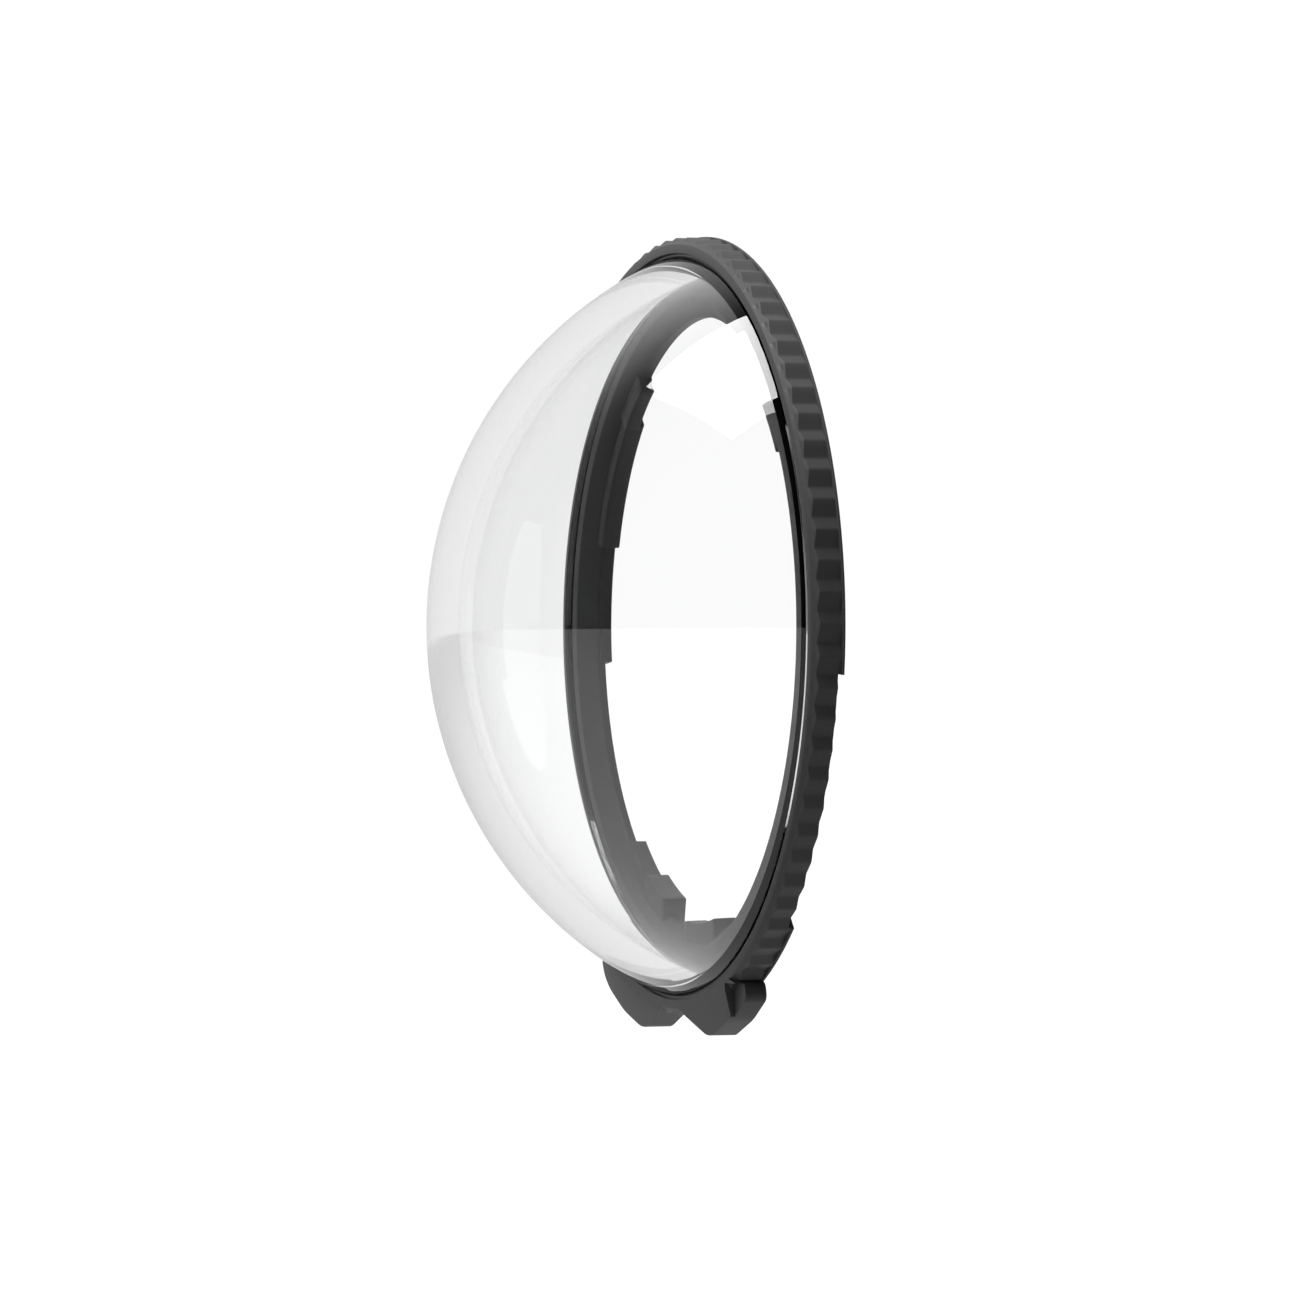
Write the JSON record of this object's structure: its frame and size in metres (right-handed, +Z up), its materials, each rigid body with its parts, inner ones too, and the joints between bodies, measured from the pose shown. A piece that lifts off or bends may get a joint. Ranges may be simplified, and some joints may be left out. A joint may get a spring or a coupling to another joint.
{
  "type": "dome lens guard",
  "caption": "Clear protective dome bonded into a knurled twist-lock ring with two grip tabs and bayonet lugs, for covering the wide-angle lens of a pocket camera.",
  "frame": {"origin": "on the ring axis, in the plane of the grip ring's rear face, which meets the camera body", "axes": "+Z up with the grip tabs at the bottom; the dome points along -Y; +X is to the right seen from the dome's side"},
  "size_m": [0.044, 0.0158, 0.0449],
  "materials": {
    "clear_dome": "polished clear",
    "black_adhesive": "cured black adhesive, satin",
    "inner_plastic": "moulded satin black",
    "outer_plastic": "moulded satin charcoal"
  },
  "bodies": {
    "root": {"dome": "clear_dome", "bond_ring": "black_adhesive", "bayonet_ring": "inner_plastic", "grip_ring": "outer_plastic"}
  },
  "joints": []
}
